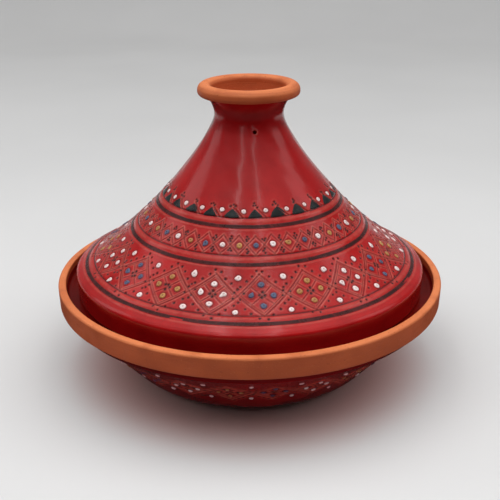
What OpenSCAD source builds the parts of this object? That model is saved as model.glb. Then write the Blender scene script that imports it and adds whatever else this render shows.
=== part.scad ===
// Glazed earthenware tagine: a shallow round dish with a bare clay rim, and a tall
// flared lid that stands inside the rim. The axis is +Z, the foot stands on z = 0
// and the front is towards -Y. Sizes are millimetres.

/* [Dish] */
// Outer diameter of the dish over its rim
rim_d = 270; // [262:1:280]
// Height of the dish from its foot to the top of the rim
dish_h = 70; // [66:1:76]
// Height of the bare clay band round the rim
rim_h = 15; // [13:0.5:17]
// Width of the rim's flat top
rim_top_w = 5.5; // [4:0.5:6]
// Depth of the ledge that the lid stands on, below the rim's top
ledge_depth = 9; // [8:0.5:11]
// Width of the ledge
ledge_w = 20.5; // [20:0.5:23]
// Diameter of the foot
foot_d = 144; // [136:1:150]
// Thickness of the dish's wall
dish_wall = 7; // [6:0.5:8]
// Thickness of the dish's floor
dish_floor = 9; // [8:0.5:11]

/* [Lid] */
// Outer diameter of the lid's edge
lid_d = 243; // [240:1:244]
// Height of the lid's upright side wall
lid_side_h = 16.5; // [15:0.5:18]
// Thickness of the lid's wall
lid_wall = 6; // [5:0.5:6.5]
// Height of the neck's waist above the ledge
waist_h = 121.5; // [119:0.5:124]
// Diameter of the neck's waist
waist_d = 46; // [44:1:48]
// Outer diameter of the collar
collar_d = 69; // [67:1:71]
// Height of the collar's thick lip
collar_h = 8.5; // [8:0.5:9]
// Depth of the cup inside the collar
cup_depth = 21; // [19:1:23]
// Diameter of the steam vent at the foot of the neck
vent_d = 2.6; // [2:0.2:3.4]

/* [Glaze and paint] */
// Thickness of the glaze
glaze_t = 0.4; // [0.3:0.1:0.6]
// Width of the three black bands
band_w = 2.4; // [2:0.2:3]
// Diameter of the enamel dots
dot_d = 4.1; // [3.6:0.1:4.4]
// Diameter of the small dots between the triangles and round the dish
small_dot_d = 3.1; // [2.6:0.1:3.4]
// How far a dot stands out of the glaze
dot_rise = 0.5; // [0.3:0.1:0.7]
// How far a hand-placed dot strays from its even place
hand_wander = 0.5; // [0:0.1:0.8]
// Number of black triangles round the lid
triangle_count = 25; // [24:1:26]
// Number of single dots in the narrow middle band, a multiple of 3
lattice_count = 42; // [39:3:45]
// Number of diamonds in the lid's wide band, an even number
diamond_count = 20; // [18:2:22]
// Number of diamonds round the dish, a multiple of 6
bowl_diamond_count = 24; // [18:6:30]

/* [Hidden] */

$fn = 96;
arc_steps = 5;
curve_steps = 28;
clay_color = [0.76, 0.41, 0.27];
glaze_color = [0.62, 0.13, 0.13];
white_color = [0.95, 0.92, 0.89];
yellow_color = [0.78, 0.62, 0.30];
blue_color = [0.28, 0.42, 0.62];
black_color = [0.10, 0.10, 0.10];

// The dish's driving places
rim_r = rim_d / 2;
foot_r = foot_d / 2;
rim_round = 1.8;
shelf_round = 3;
shelf_w = 7.5;
shelf_drop = 5.5;
gallery_r = rim_r - rim_top_w;
ledge_z = dish_h - ledge_depth;
cavity_r = gallery_r - ledge_w;
bowl_r = rim_r - shelf_w;
shelf_z = dish_h - rim_h;
foot_ring_w = 9;
foot_recess = 1.5;
heel_round = 3;
bowl_flat = 19;
dish_glaze_start_z = 3.2;
gallery_glaze_top = 4.5;

// The lid stands on the glazed ledge
seat_z = ledge_z + glaze_t;
lid_r = lid_d / 2;
side_top_z = seat_z + lid_side_h;
side_draft = 0.8;
side_round = 2;
seat_w = 8;
seat_round = 1;
waist_z = ledge_z + waist_h + glaze_t;
waist_r = waist_d / 2;
collar_r = collar_d / 2;
collar_under_z = waist_z + 13;
collar_top_z = collar_under_z + collar_h;
collar_round_low = 2.9;
collar_round_out = 5;
collar_round_in = 4;
collar_lip_w = 9.5;
cup_floor_z = collar_top_z - cup_depth;
cup_floor_r = 13;
hollow_top_z = cup_floor_z - 6.5;
hollow_top_flat = 6;

// Where each row of decoration lies along the lid's sweep, from 0 at its edge to 1 at its waist
band_places = [0.065, 0.311, 0.454];
triangle_base_place = 0.488;
triangle_dot_place = 0.511;
lattice_place = 0.383;
upper_dot_place = 0.2575;
diamond_place = 0.187;
lower_dot_place = 0.117;
vent_place = 0.895;

// And where its rows lie along the bowl's outside, from 0 at the foot to 1 under the rim
bowl_upper_place = 0.897;
bowl_diamond_place = 0.76;
bowl_lower_place = 0.63;

// How far round each row starts from the front, in degrees
triangle_turn = -3.8;
lattice_turn = 3.2;
diamond_turn = 4.4;
bowl_diamond_turn = -7;
vent_turn = 8.5;
lattice_step = 360 / lattice_count;
triangle_step = 360 / triangle_count;
cluster_reach = 7.2;
triangle_w = 10.4;
triangle_h = 6.4;
paint_sunk = 0.5;
paint_proud = 0.25;
dot_sunk = 0.35;

// ---------- outlines ----------

// Point at t on a cubic curve with four control points
function bezier(p, t) =
    pow(1 - t, 3) * p[0] + 3 * pow(1 - t, 2) * t * p[1]
    + 3 * (1 - t) * t * t * p[2] + pow(t, 3) * p[3];

function bezier_run(p, steps) = [for (i = [0:steps]) bezier(p, i / steps)];

// Direction along a cubic curve at t, as a unit vector
function bezier_way(p, t) =
    let (d = bezier(p, min(t + 0.001, 1)) - bezier(p, max(t - 0.001, 0))) d / norm(d);

// Arc from angle a to angle b round a centre
function arc(centre, r, a, b) =
    [for (i = [0:arc_steps]) let (q = a + (b - a) * i / arc_steps)
        centre + r * [cos(q), sin(q)]];

function reversed(v) = [for (i = [len(v) - 1:-1:0]) v[i]];

// Unit direction along a run of points at point i
function way(pts, i) =
    let (d = pts[min(i + 1, len(pts) - 1)] - pts[max(i - 1, 0)]) d / norm(d);

// The run moved d towards its right-hand side
function lifted(pts, d) =
    [for (i = [0:len(pts) - 1]) let (w = way(pts, i)) pts[i] + d * [w[1], -w[0]]];

// A skin of thickness d on the right-hand side of a run
module skin(pts, d) {
    rotate_extrude() polygon(concat(pts, reversed(lifted(pts, d))));
}

// The dish's outside below the rim, from the glaze's lower edge outward and up
bowl_curve = [
    [foot_r, dish_glaze_start_z],
    [foot_r + bowl_flat, dish_glaze_start_z - 0.6],
    [foot_r + bowl_flat + 1, shelf_z - 33],
    [bowl_r, shelf_z - shelf_drop]
];
bowl_outside = concat(
    bezier_run(bowl_curve, 18),
    reversed(arc([bowl_r + 1.5 + shelf_round, shelf_z - shelf_round], shelf_round, 98, 180))
);

// The dish's bare rim, from its lower edge up, over and down to the glazed gallery
rim_outside = concat(
    arc([rim_r - rim_round - 0.4, shelf_z + rim_round], rim_round, -90, 0),
    arc([rim_r - rim_round, dish_h - rim_round], rim_round, 0, 90),
    arc([gallery_r + 1.2, dish_h - 1.2], 1.2, 90, 180)
);

// The dish's inside, from the gallery's wall down over the ledge to the middle of the floor
cavity_curve = [
    [cavity_r, ledge_z - 3],
    [cavity_r - 1, ledge_z - 23],
    [foot_r + 21 - dish_wall, dish_floor],
    [foot_r - 9 - dish_wall, dish_floor]
];
dish_inside = concat(
    [[gallery_r, dish_h - gallery_glaze_top]],
    reversed(arc([gallery_r - 2.5, ledge_z + 2.5], 2.5, -90, 0)),
    arc([cavity_r + 3, ledge_z - 3], 3, 90, 180),
    [for (i = [1:20]) bezier(cavity_curve, i / 20)],
    [[0, dish_floor]]
);

// The lid's side wall and sweep, from the seat's outer edge up to the collar's underside
sweep_curve = [
    [lid_r, side_top_z],
    [lid_r * 0.667, side_top_z + 18],
    [waist_r + 1, waist_z - 16],
    [waist_r, waist_z]
];
neck_curve = [
    [waist_r, waist_z],
    [waist_r, waist_z + 5.5],
    [waist_r + 1.8, waist_z + 9.5],
    [waist_r + 6, collar_under_z + 0.3]
];
edge_way = bezier_way(sweep_curve, 0);
edge_turn = atan2(-edge_way[0], edge_way[1]);
lid_outside = concat(
    [[lid_r - side_draft, seat_z + seat_round]],
    arc([lid_r - side_round, side_top_z - side_round * 0.8], side_round, 0, edge_turn - 8),
    [for (i = [1:curve_steps]) bezier(sweep_curve, i / curve_steps)],
    [for (i = [1:8]) bezier(neck_curve, i / 8)]
);

// The bare collar: its underside, thick lip and the cup down to the middle of its floor
cup_curve = [
    [collar_r - collar_lip_w, collar_top_z - collar_round_in],
    [collar_r - collar_lip_w - 2, cup_floor_z + 10],
    [cup_floor_r + 6, cup_floor_z],
    [cup_floor_r - 3, cup_floor_z]
];
collar_outside = concat(
    arc([collar_r - collar_round_low, collar_under_z + collar_round_low],
        collar_round_low, -75, 0),
    arc([collar_r - collar_round_out, collar_top_z - collar_round_out],
        collar_round_out, 12, 90),
    arc([collar_r - collar_lip_w + collar_round_in, collar_top_z - collar_round_in],
        collar_round_in, 95, 180),
    [for (i = [1:10]) bezier(cup_curve, i / 10)],
    [[0, cup_floor_z]]
);

// The lid's hollow follows the sweep at the wall's thickness, from a domed crown down
// to the seat
hollow_run = lifted([for (i = [3:23]) bezier(sweep_curve, i / curve_steps)], -lid_wall);
hollow_side = hollow_run[len(hollow_run) - 1];
crown_curve = [
    [hollow_top_flat, hollow_top_z],
    [hollow_top_flat + 7, hollow_top_z],
    hollow_side + [-3, 6],
    hollow_side
];
skirt_curve = [
    hollow_run[0],
    hollow_run[0] + [5, -3.5],
    [lid_r - seat_w - 1, seat_z + 8],
    [lid_r - seat_w, seat_z + 2.5]
];
lid_inside = concat(
    [[0, hollow_top_z]],
    [for (i = [0:7]) bezier(crown_curve, i / 8)],
    reversed(hollow_run),
    [for (i = [1:6]) bezier(skirt_curve, i / 6)]
);
lid_seat = [
    [lid_r - seat_w + 0.4, seat_z],
    [lid_r - side_draft - seat_round, seat_z]
];

// ---------- places on the curved surfaces ----------

// Stands things on the glaze of a curve at t, turned round the axis from the front;
// their Z axis points straight out of the surface and their Y axis points up the slope
module on_curve(curve, t, turn, slide = 0) {
    p = bezier(curve, t);
    w = bezier_way(curve, t);
    out = [w[1], -w[0]];
    spot = p + out * glaze_t + w * slide;
    rotate([0, 0, turn - 90])
        translate([spot[0], 0, spot[1]])
            rotate([0, atan2(out[0], out[1]), 0])
                rotate([0, 0, 90])
                    children();
}

// A low round-topped dab of enamel, sunk a little into the glaze
module dab(d) {
    translate([0, 0, -dot_sunk])
        cylinder(h = dot_sunk + dot_rise * 0.5, d = d);
    translate([0, 0, dot_rise * 0.5])
        cylinder(h = dot_rise * 0.5, d1 = d, d2 = d * 0.6);
}

// A dab that strays from its even place as hand work does
module hand_dab(curve, t, turn, reach, angle, seed, d = dot_d) {
    stray = rands(-hand_wander, hand_wander, 3, seed);
    r = bezier(curve, t)[0];
    across = reach * cos(angle) + stray[0];
    on_curve(curve, t, turn + across / r * 180 / PI, reach * sin(angle) + stray[1])
        dab(d + 0.5 * stray[2]);
}

// Four dabs in a diamond at every third diamond; the row is counted from the back, so that
// a break in its order of colours lies there
module diamond_clusters(curve, t, turn, count, first, seed, d = dot_d) {
    for (i = [first:3:count - 1])
        for (corner = [0:3])
            hand_dab(curve, t, turn + 180 + i * 360 / count, cluster_reach,
                     corner * 90, seed + i * 4 + corner, d);
}

// One dab between each two diamonds
module between_diamonds(curve, t, turn, count, seed, d = dot_d) {
    for (i = [0:count - 1])
        hand_dab(curve, t, turn + 180 + (i + 0.5) * 360 / count, 0, 0, seed + i, d);
}

module bowl_clusters(first) {
    diamond_clusters(bowl_curve, bowl_diamond_place, bowl_diamond_turn, bowl_diamond_count,
                     first, 500, small_dot_d);
}

module lid_clusters(first) {
    diamond_clusters(sweep_curve, diamond_place, diamond_turn, diamond_count, first, 300);
}

// One dab in every third cell of the narrow band
module lattice_row(first, seed) {
    for (i = [first:3:lattice_count - 1])
        hand_dab(sweep_curve, lattice_place, lattice_turn + i * lattice_step, 0, 0, seed + i);
}

// ---------- dish ----------

module dish_body() {
    color(clay_color) rotate_extrude() polygon(concat(
        [[0, foot_recess], [foot_r - foot_ring_w - 2, foot_recess], [foot_r - foot_ring_w, 0],
         [foot_r - heel_round, 0]],
        [for (i = [1:arc_steps - 1]) let (q = -90 + 70 * i / arc_steps)
            [foot_r - heel_round, heel_round] + heel_round * [cos(q), sin(q)]],
        bowl_outside,
        rim_outside,
        dish_inside
    ));
}

module dish_outer_glaze() {
    color(glaze_color) skin(bowl_outside, glaze_t);
}

module dish_inner_glaze() {
    color(glaze_color) skin(dish_inside, glaze_t);
}

module dish_white_dots() {
    color(white_color) {
        bowl_clusters(2);
        between_diamonds(bowl_curve, bowl_upper_place, bowl_diamond_turn, bowl_diamond_count,
                         600, small_dot_d);
        between_diamonds(bowl_curve, bowl_lower_place, bowl_diamond_turn, bowl_diamond_count,
                         700, small_dot_d);
    }
}

module dish_yellow_dots() {
    color(yellow_color) bowl_clusters(0);
}

module dish_blue_dots() {
    color(blue_color) bowl_clusters(1);
}

// ---------- lid ----------

// The steam vent: a straight hole through the foot of the neck into the hollow
module steam_vent() {
    on_curve(sweep_curve, vent_place, vent_turn)
        translate([0, 0, -16]) cylinder(h = 24, d = vent_d);
}

// The section of one band of paint, lying along the sweep with half its depth sunk
module band_section(t) {
    p = bezier(sweep_curve, t);
    w = bezier_way(sweep_curve, t);
    out = [w[1], -w[0]];
    low = p + out * (glaze_t - 0.15) - w * band_w / 2;
    high = p + out * (glaze_t - 0.15) + w * band_w / 2;
    polygon([low, low + out * 0.25, high + out * 0.25, high]);
}

module bands() {
    rotate_extrude() for (t = band_places) band_section(t);
}

// The row of black triangles, each a flat plate that stands on the base line
module triangles() {
    for (i = [0:triangle_count - 1])
        on_curve(sweep_curve, triangle_base_place, triangle_turn + (i + 0.5) * triangle_step)
            translate([0, 0, -paint_sunk])
                linear_extrude(paint_sunk + paint_proud)
                    polygon([[-triangle_w / 2, 0.3], [triangle_w / 2, 0.3], [0.8, triangle_h]]);
}

module lid_body() {
    color(clay_color) difference() {
        rotate_extrude() polygon(concat(lid_seat, lid_outside, collar_outside, lid_inside));
        steam_vent();
    }
}

module lid_outer_glaze() {
    color(glaze_color) difference() {
        skin(lid_outside, glaze_t);
        bands();
        steam_vent();
    }
}

module lid_inner_glaze() {
    color(glaze_color) difference() {
        skin(lid_inside, glaze_t);
        steam_vent();
    }
}

module lid_black_bands() {
    color(black_color) bands();
}

module lid_black_triangles() {
    color(black_color) triangles();
}

module lid_white_dots() {
    color(white_color) {
        for (i = [0:triangle_count - 1])
            hand_dab(sweep_curve, triangle_dot_place, triangle_turn + i * triangle_step,
                     0, 0, 100 + i, small_dot_d);
        lattice_row(1, 200);
        lid_clusters(0);
        between_diamonds(sweep_curve, upper_dot_place, diamond_turn, diamond_count, 400);
        between_diamonds(sweep_curve, lower_dot_place, diamond_turn, diamond_count, 450);
    }
}

module lid_yellow_dots() {
    color(yellow_color) {
        lattice_row(2, 200);
        lid_clusters(2);
    }
}

module lid_blue_dots() {
    color(blue_color) {
        lattice_row(0, 200);
        lid_clusters(1);
    }
}

dish_body();
dish_outer_glaze();
dish_inner_glaze();
dish_white_dots();
dish_yellow_dots();
dish_blue_dots();
lid_body();
lid_outer_glaze();
lid_inner_glaze();
lid_black_bands();
lid_black_triangles();
lid_white_dots();
lid_yellow_dots();
lid_blue_dots();
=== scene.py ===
import math

import bmesh
import bpy
import numpy as np
from mathutils import Matrix, Vector


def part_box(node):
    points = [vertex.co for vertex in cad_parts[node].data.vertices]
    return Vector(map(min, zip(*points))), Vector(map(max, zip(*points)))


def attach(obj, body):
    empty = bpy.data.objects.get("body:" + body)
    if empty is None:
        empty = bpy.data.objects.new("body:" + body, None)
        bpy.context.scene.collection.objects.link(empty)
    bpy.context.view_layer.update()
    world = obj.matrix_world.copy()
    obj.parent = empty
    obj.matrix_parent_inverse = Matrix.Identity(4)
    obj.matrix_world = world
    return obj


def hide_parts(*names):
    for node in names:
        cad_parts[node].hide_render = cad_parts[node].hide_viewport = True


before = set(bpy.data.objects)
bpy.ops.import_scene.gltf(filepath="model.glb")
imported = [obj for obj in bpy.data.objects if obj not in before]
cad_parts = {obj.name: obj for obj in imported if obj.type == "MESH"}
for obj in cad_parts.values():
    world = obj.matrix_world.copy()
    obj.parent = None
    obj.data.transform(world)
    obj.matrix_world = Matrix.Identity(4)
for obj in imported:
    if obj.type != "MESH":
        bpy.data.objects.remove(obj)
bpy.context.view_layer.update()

MM = 0.001

# What the nodes' boxes don't give, the same as in the CAD: sizes in mm, a turn in degrees,
# and places on the lid's sweep from 0 at its foot to 1 at the waist
GLAZE = 0.4
LEDGE_W = 20.5
RIM_OVERHANG = 7.5
RIM_H = 15
FOOT_R = 72
SIDE_H = 16.5
WALL = 6
HOLLOW_SPAN = (3 / 28, 23 / 28)
WAIST_R = 23
NECK_H = 13
COLLAR_R = 34.5
COLLAR_H = 8.5
CUP_DEPTH = 21
VENT_D = 2.6
VENT_TURN = 8.5
VENT_SHARE = 0.895


# ---- outlines, in millimetres

def bezier(p, steps, start=0.0, end=1.0):
    """Evenly stepped points on a cubic curve with four control points."""
    p = np.asarray(p, float)
    t = np.linspace(start, end, steps)[:, None]
    return (1 - t) ** 3 * p[0] + 3 * (1 - t) ** 2 * t * p[1] + 3 * (1 - t) * t * t * p[2] + t ** 3 * p[3]


def arc(centre, radius, start, end, steps=10):
    """Points on an arc from one angle to another, in degrees."""
    turn = np.radians(np.linspace(start, end, steps + 1))
    return np.asarray(centre) + radius * np.stack([np.cos(turn), np.sin(turn)], -1)


def joined(*runs):
    """One run of points without repeats."""
    points = np.concatenate([np.atleast_2d(np.asarray(r, float)) for r in runs])
    keep = np.r_[True, np.hypot(*np.diff(points, axis=0).T) > 0.02]
    return points[keep]


def lengths(points):
    """Distance along a run at each of its points."""
    return np.r_[0, np.cumsum(np.hypot(*np.diff(points, axis=0).T))]


def at(points, where):
    """Places along a run at the given distances."""
    run = lengths(points)
    return np.stack([np.interp(where, run, points[:, 0]), np.interp(where, run, points[:, 1])], -1)


def normals(points):
    """Unit directions to the right-hand side of a run, which is the open air."""
    way = np.gradient(points, axis=0)
    way /= np.hypot(way[:, 0], way[:, 1])[:, None]
    return np.stack([way[:, 1], -way[:, 0]], -1)


def lifted(points, distance):
    return points + normals(points) * distance


def along(points, r, z):
    """Distance along a run of its spot nearest to a place."""
    fine = at(points, np.arange(0, lengths(points)[-1], 0.1))
    return float(np.hypot(fine[:, 0] - r, fine[:, 1] - z).argmin() * 0.1)


def around(columns):
    """Angles of evenly spaced columns round the axis."""
    return np.linspace(0, 2 * math.pi, columns, endpoint=False)


def turn_of(x, y):
    """Turn in degrees of a point round the axis, from the front."""
    return math.degrees(math.atan2(x, -y))


dish_low, dish_high = (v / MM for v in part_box("dish_body"))
lid_low, lid_high = (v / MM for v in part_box("lid_body"))
ledge_low, ledge_high = (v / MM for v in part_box("dish_inner_glaze"))
hollow_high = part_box("lid_inner_glaze")[1] / MM

rim_r = dish_high.x
dish_h = dish_high.z
gallery_r = ledge_high.x
seat_z = lid_low.z
ledge_z = seat_z - GLAZE
floor_z = ledge_low.z
cavity_r = gallery_r - LEDGE_W
bowl_r = rim_r - RIM_OVERHANG
shelf_z = dish_h - RIM_H
lid_r = lid_high.x
side_top = seat_z + SIDE_H
collar_top = lid_high.z
collar_under = collar_top - COLLAR_H
waist_z = collar_under - NECK_H
cup_floor = collar_top - CUP_DEPTH
hollow_top = hollow_high.z

foot = joined([[0, 1.5], [FOOT_R - 11, 1.5], [FOOT_R - 9.4, 0.4], [FOOT_R - 8.6, 0]],
              arc([FOOT_R - 3, 3], 3, -90, -20))
bowl_outside = joined(
    bezier([[FOOT_R, 3.2], [FOOT_R + 19, 2.6], [FOOT_R + 20, shelf_z - 33], [bowl_r, shelf_z - 5.5]], 60),
    arc([bowl_r + 4.5, shelf_z - 3], 3, 180, 98, 12))
rim_outside = joined(
    arc([rim_r - 2.2, shelf_z + 1.8], 1.8, -90, 0),
    arc([rim_r - 1.8, dish_h - 1.8], 1.8, 0, 90),
    arc([gallery_r + 1.2, dish_h - 1.2], 1.2, 90, 180))
dish_inside = joined(
    [[gallery_r, dish_h - 4.5]],
    arc([gallery_r - 2.5, ledge_z + 2.5], 2.5, 0, -90),
    arc([cavity_r + 3, ledge_z - 3], 3, 90, 180),
    bezier([[cavity_r, ledge_z - 3], [cavity_r - 1, ledge_z - 23], [FOOT_R + 14, floor_z],
            [FOOT_R - 16, floor_z]], 50),
    [[0, floor_z]])

sweep = [[lid_r, side_top], [lid_r * 0.667, side_top + 18], [WAIST_R + 1, waist_z - 16],
         [WAIST_R, waist_z]]
lid_outside = joined(
    [[lid_r - 0.8, seat_z + 1]],
    arc([lid_r - 2, side_top - 1.6], 2, 0, 60, 12),
    bezier(sweep, 160, 0.012),
    bezier([[WAIST_R, waist_z], [WAIST_R, waist_z + 5.5], [WAIST_R + 1.8, waist_z + 9.5],
            [WAIST_R + 6, collar_under + 0.3]], 24))
collar = joined(
    arc([COLLAR_R - 2.9, collar_under + 2.9], 2.9, -75, 0),
    arc([COLLAR_R - 5, collar_top - 5], 5, 12, 90, 14),
    arc([COLLAR_R - 5.5, collar_top - 4], 4, 95, 180, 14),
    bezier([[COLLAR_R - 9.5, collar_top - 4], [COLLAR_R - 9.8, cup_floor + 9], [18, cup_floor],
            [10, cup_floor]], 24),
    [[0, cup_floor]])
hollow_run = lifted(bezier(sweep, 60, *HOLLOW_SPAN), -WALL)
crown = bezier([[6, hollow_top], [13, hollow_top], hollow_run[-1] + [-3, 6], hollow_run[-1]], 14)
skirt = bezier([hollow_run[0], hollow_run[0] + [5, -3.5], [lid_r - 9, seat_z + 8],
                [lid_r - 8, seat_z + 2.5]], 14)
lid_inside = joined([[0, hollow_top]], crown, hollow_run[::-1], skirt)
lid_seat = joined([[lid_r - 7.6, seat_z], [lid_r - 1.8, seat_z]])


# ---- mesh making

def wound(verts, faces):
    """Quads of a closed shell, turned so that they look outwards."""
    a, b, c, d = (verts[faces[:, i]] for i in range(4))
    volume = np.einsum("ij,ij->i", a, np.cross(b, c) + np.cross(c, d)).sum()
    return faces if volume > 0 else faces[:, ::-1]


def tidy_faces(faces):
    """Faces as lists, with the quads at a pole made triangles."""
    out = []
    for face in faces.tolist():
        corners = [v for i, v in enumerate(face) if v != face[i - 1]]
        if len(corners) > 2:
            out.append(corners)
    return out


def add_piece(name, verts, faces, body, slot, paint, node, marks=None):
    """A smooth piece in metres that stands for a CAD node and rides on its body."""
    mesh = bpy.data.meshes.new(name)
    flat = tidy_faces(faces) if isinstance(faces, np.ndarray) else faces
    mesh.from_pydata((np.asarray(verts) * MM).tolist(), [], flat)
    for mark, values in (marks or {}).items():
        layer = mesh.attributes.new(mark, "FLOAT", "POINT")
        layer.data.foreach_set("value", np.asarray(values, np.float32).ravel())
    piece = bpy.data.objects.new(name, mesh)
    bpy.context.scene.collection.objects.link(piece)
    trim_loose(mesh)
    mesh.shade_smooth()
    mesh.materials.append(paint)
    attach(piece, body)
    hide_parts(node)
    return piece


def trim_loose(mesh):
    """Removes the points that no face uses."""
    used = np.zeros(len(mesh.vertices), bool)
    corners = np.empty(len(mesh.loops), np.int32)
    mesh.loops.foreach_get("vertex_index", corners)
    used[corners] = True
    if used.all():
        return
    work = bmesh.new()
    work.from_mesh(mesh)
    work.verts.ensure_lookup_table()
    bmesh.ops.delete(work, geom=[work.verts[i] for i in np.flatnonzero(~used)], context="VERTS")
    work.to_mesh(mesh)
    work.free()


def loose_parts(node):
    """The points in mm of each separate solid of a CAD node."""
    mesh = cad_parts[node].data
    points = np.array([v.co for v in mesh.vertices]) / MM
    _, weld = np.unique(np.round(points, 3), axis=0, return_inverse=True)
    weld = weld.ravel()
    label = np.arange(weld.max() + 1)
    edges = weld[np.array([e.vertices for e in mesh.edges])]
    while True:
        low = np.minimum(label[edges[:, 0]], label[edges[:, 1]])
        before = label.copy()
        np.minimum.at(label, edges[:, 0], low)
        np.minimum.at(label, edges[:, 1], low)
        label = label[label]
        if (label == before).all():
            break
    group = label[weld]
    return [points[group == g] for g in np.unique(group)]


# ---- relief on a revolved skin

class Relief:
    """Heights and colour marks on a grid of rows (mm along a run) by columns round the axis."""

    def __init__(self, radii, where, columns):
        self.radii, self.where, self.columns = radii, where, columns
        self.height, self.sunk, self.raised, self.uneven = np.zeros((4, len(where), columns))

    def patch(self, turn, low, high, half_width):
        """Row and column numbers near a place, with offsets across in mm and places along.
        They are empty where the grid has no row."""
        rows = np.flatnonzero((self.where > low) & (self.where < high))
        radius = self.radii[rows].mean() if len(rows) else 1
        step = 360 / self.columns
        half = int(half_width / (math.radians(step) * radius)) + 2
        middle = int(round(turn / step))
        numbers = np.arange(middle - half, middle + half + 1)
        across = np.radians(numbers * step - turn)[None] * self.radii[rows][:, None]
        return np.ix_(rows, numbers % self.columns), across, self.where[rows][:, None]

    def press(self, spot, gap, depth, width, burr, dark=0.62, pale=1.0):
        """Sinks a soft groove where the gap to a mark is small, with a raised lip beside it."""
        cut = np.exp(-(gap / width) ** 2)
        lip = np.exp(-((gap - width * 2.0) / width) ** 2)
        self.height[spot] = np.minimum(self.height[spot], -depth * cut) + np.where(
            cut < 0.25, np.maximum(0, burr * lip - np.maximum(0, self.height[spot])), 0)
        self.sunk[spot] = np.maximum(self.sunk[spot], dark * cut)
        self.raised[spot] = np.maximum(self.raised[spot], pale * lip * (cut < 0.3))

    def line(self, a, b, depth=0.28, width=0.42, burr=0.16):
        """An engraved line between two (turn, along) places."""
        (ta, sa), (tb, sb) = a, b
        middle = (ta + tb) / 2
        reach = abs(math.radians(tb - ta)) / 2 * self.radii.max() + 3
        spot, across, place = self.patch(middle, min(sa, sb) - 2.5, max(sa, sb) + 2.5, reach)
        radius = self.radii[spot[0].ravel()][:, None]
        ax, bx = math.radians(ta - middle) * radius, math.radians(tb - middle) * radius
        dx, dy = bx - ax, sb - sa
        share = np.clip(((across - ax) * dx + (place - sa) * dy) / (dx * dx + dy * dy), 0, 1)
        gap = np.hypot(across - ax - share * dx, place - sa - share * dy)
        fade = np.clip(np.minimum(share, 1 - share) * 6 + 0.35, 0, 1)
        self.press(spot, gap, depth * fade, width, burr)

    def pit(self, turn, place, size=0.75, depth=0.42):
        """A small punched dot."""
        spot, across, where = self.patch(turn, place - 2.5, place + 2.5, 2.5)
        gap = np.hypot(across, where - place)
        self.press(spot, gap, depth, size, 0.07, pale=0.25)
        self.sunk[spot] = np.maximum(self.sunk[spot], 1.5 * np.exp(-(gap / (size * 1.1)) ** 2))

    def ring(self, place, depth, width, dark=0.8, wander=0.25):
        """A groove all round, or with a negative depth a raised ring."""
        turn = around(self.columns)
        sway = wander * (np.sin(2 * turn + place) + 0.6 * np.sin(5 * turn + 2 * place)) / 1.6
        gap = self.where[:, None] - place - sway[None]
        shape = np.exp(-(gap / width) ** 2)
        self.height -= depth * shape
        if depth > 0:
            self.sunk = np.maximum(self.sunk, dark * shape)
        else:
            self.raised = np.maximum(self.raised, 0.55 * shape)


def ripple(where, columns, size, seed):
    """Slow unevenness of a hand-glazed surface, in mm."""
    draw = np.random.default_rng(seed)
    turn = around(columns)[None]
    place = np.asarray(where)[:, None]
    total = 0
    for _ in range(14):
        waves, length = draw.integers(2, 26), draw.uniform(14, 60)
        total = total + np.sin(waves * turn + 2 * math.pi * place / length + draw.uniform(0, 6.3))
    return size * total / 4


# ---- where the CAD's decoration lies

def dab_places(node, run):
    """(turn in degrees, distance along the run, radius) of every dab of enamel in a node."""
    found = []
    for points in loose_parts(node):
        x, y, z = (points.min(0) + points.max(0)) / 2
        size = np.linalg.norm(points - points.mean(0), axis=1).max()
        found.append((turn_of(x, y), along(run, math.hypot(x, y), z), min(size, 2.3)))
    return found


def phase(turns, count):
    """Turn of the front one in a row of evenly spaced places, in degrees."""
    wave = np.exp(1j * np.radians(np.asarray(turns)) * count).mean()
    return math.degrees(math.atan2(wave.imag, wave.real)) / count


lid_glaze_run = lifted(lid_outside, GLAZE)
bowl_glaze_run = lifted(bowl_outside, GLAZE)
COLOURS = ("white", "yellow", "blue")
lid_dabs = {c: dab_places(f"lid_{c}_dots", lid_glaze_run) for c in COLOURS}
bowl_dabs = {c: dab_places(f"dish_{c}_dots", bowl_glaze_run) for c in COLOURS}
bands = sorted(along(lid_glaze_run, math.hypot(p[0, 0], p[0, 1]), p[:, 2].mean())
               for p in loose_parts("lid_black_bands"))
triangles = [(turn_of(p[:, 0].mean(), p[:, 1].mean()),
              along(lid_glaze_run, np.hypot(p[:, 0], p[:, 1]).max(), p[:, 2].min()))
             for p in loose_parts("lid_black_triangles")]


# ---- skins of glaze and walls of clay

def eased(x):
    x = np.clip(x, 0, 1)
    return x * x * (3 - 2 * x)


def frames_at(run, where):
    """Points of a run at the given distances, with their unit directions out of the surface."""
    distance, facing = lengths(run), normals(run)
    out = np.stack([np.interp(where, distance, facing[:, i]) for i in (0, 1)], -1)
    return at(run, where), out / np.hypot(out[:, 0], out[:, 1])[:, None]


def turned(points, facing, columns, height=0.0, slide=0.0, poles=False):
    """A closed shell of rows of (r, z) turned round the axis, each vertex moved out by its height and
    along by its slide. With poles, the first and last rows lie on the axis."""
    turn = around(columns)
    spread = np.zeros((len(points), columns))
    height, slide = height + spread, slide + spread
    r = points[:, :1] + facing[:, :1] * height - facing[:, 1:] * slide
    z = points[:, 1:] + facing[:, 1:] * height + facing[:, :1] * slide
    grid = np.stack([r * np.sin(turn), -r * np.cos(turn), z], -1)
    index = np.arange(len(points) * columns).reshape(len(points), columns)
    if poles:
        grid[0, :, :2] = grid[-1, :, :2] = 0
        grid[0, :, 2], grid[-1, :, 2] = points[0, 1], points[-1, 1]
        index[0], index[-1] = index[0, 0], index[-1, 0]
        upper, lower = index[:-1], index[1:]
    else:
        upper, lower = index, np.roll(index, -1, 0)
    faces = np.stack([upper, np.roll(upper, -1, 1), np.roll(lower, -1, 1), lower], -1).reshape(-1, 4)
    return grid.reshape(-1, 3), wound(grid.reshape(-1, 3), faces)


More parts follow.
